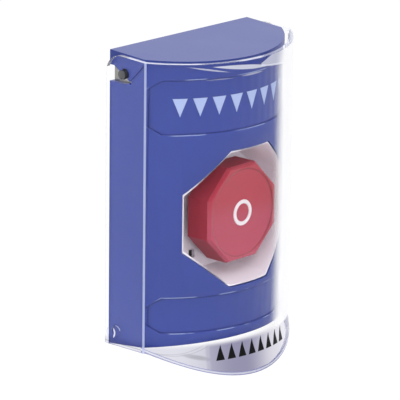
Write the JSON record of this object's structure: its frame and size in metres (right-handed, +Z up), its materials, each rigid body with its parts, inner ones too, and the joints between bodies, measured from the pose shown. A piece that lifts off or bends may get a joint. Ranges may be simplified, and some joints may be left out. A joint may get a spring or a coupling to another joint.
{
  "type": "panic button",
  "caption": "Wall-mounted panic button: round-fronted moulded housing, octagonal push head in a recessed opening, and a clear shield hinged at the top.",
  "frame": {"origin": "middle of the line between the two wall screw holes, on the wall face", "axes": "+Y into the wall, +Z up, the button faces -Y"},
  "size_m": [0.0882, 0.0462, 0.1364],
  "materials": {
    "housing_blue": "satin moulded polycarbonate",
    "shield_clear": "clear polished polycarbonate",
    "bezel_pale": "satin moulding",
    "button_red": "gloss moulding",
    "stem_white": "natural acetal",
    "operator_black": "moulded nylon",
    "block_green": "moulded nylon",
    "block_red": "moulded nylon",
    "gasket_rubber": "moulded seal",
    "plate_steel": "zinc plated sheet",
    "pin_steel": "turned",
    "screw_steel": "zinc plated",
    "spring_steel": "drawn wire",
    "contact_brass": "stamped"
  },
  "bodies": {
    "base": {"housing": "housing_blue", "back_plate": "plate_steel", "hinge_pin_left": "pin_steel", "hinge_pin_right": "pin_steel", "bezel": "bezel_pale", "bezel_screws": "screw_steel", "cover_screws": "screw_steel", "operator_body": "operator_black", "collar_gasket": "gasket_rubber", "lock_nut": "operator_black", "contact_carrier": "operator_black", "contact_block_left": "block_green", "contact_block_right": "block_red", "fixed_contact_left_top": "contact_brass", "fixed_contact_left_bottom": "contact_brass", "fixed_contact_right_top": "contact_brass", "fixed_contact_right_bottom": "contact_brass", "contact_spring_left": "spring_steel", "contact_spring_right": "spring_steel", "terminal_screws": "screw_steel", "return_spring": "spring_steel"},
    "shield": {"shield": "shield_clear"},
    "button": {"button_cap": "button_red", "push_stem": "stem_white", "plunger_left": "stem_white", "plunger_right": "stem_white", "contact_bridge_left": "contact_brass", "contact_bridge_right": "contact_brass"}
  },
  "joints": [
    {"name": "shield_lift", "type": "hinge", "parent": "base", "child": "shield", "pos_m": [0, -0.0083, 0.0536], "axis": [-1, 0, 0], "range_deg": [0, 90]},
    {"name": "button_press", "type": "slide", "parent": "base", "child": "button", "axis": [0, 1, 0], "range_m": [0, 0.004], "stiffness_N_per_m": 900, "deforming": ["return_spring", "contact_spring_left", "contact_spring_right"]}
  ]
}
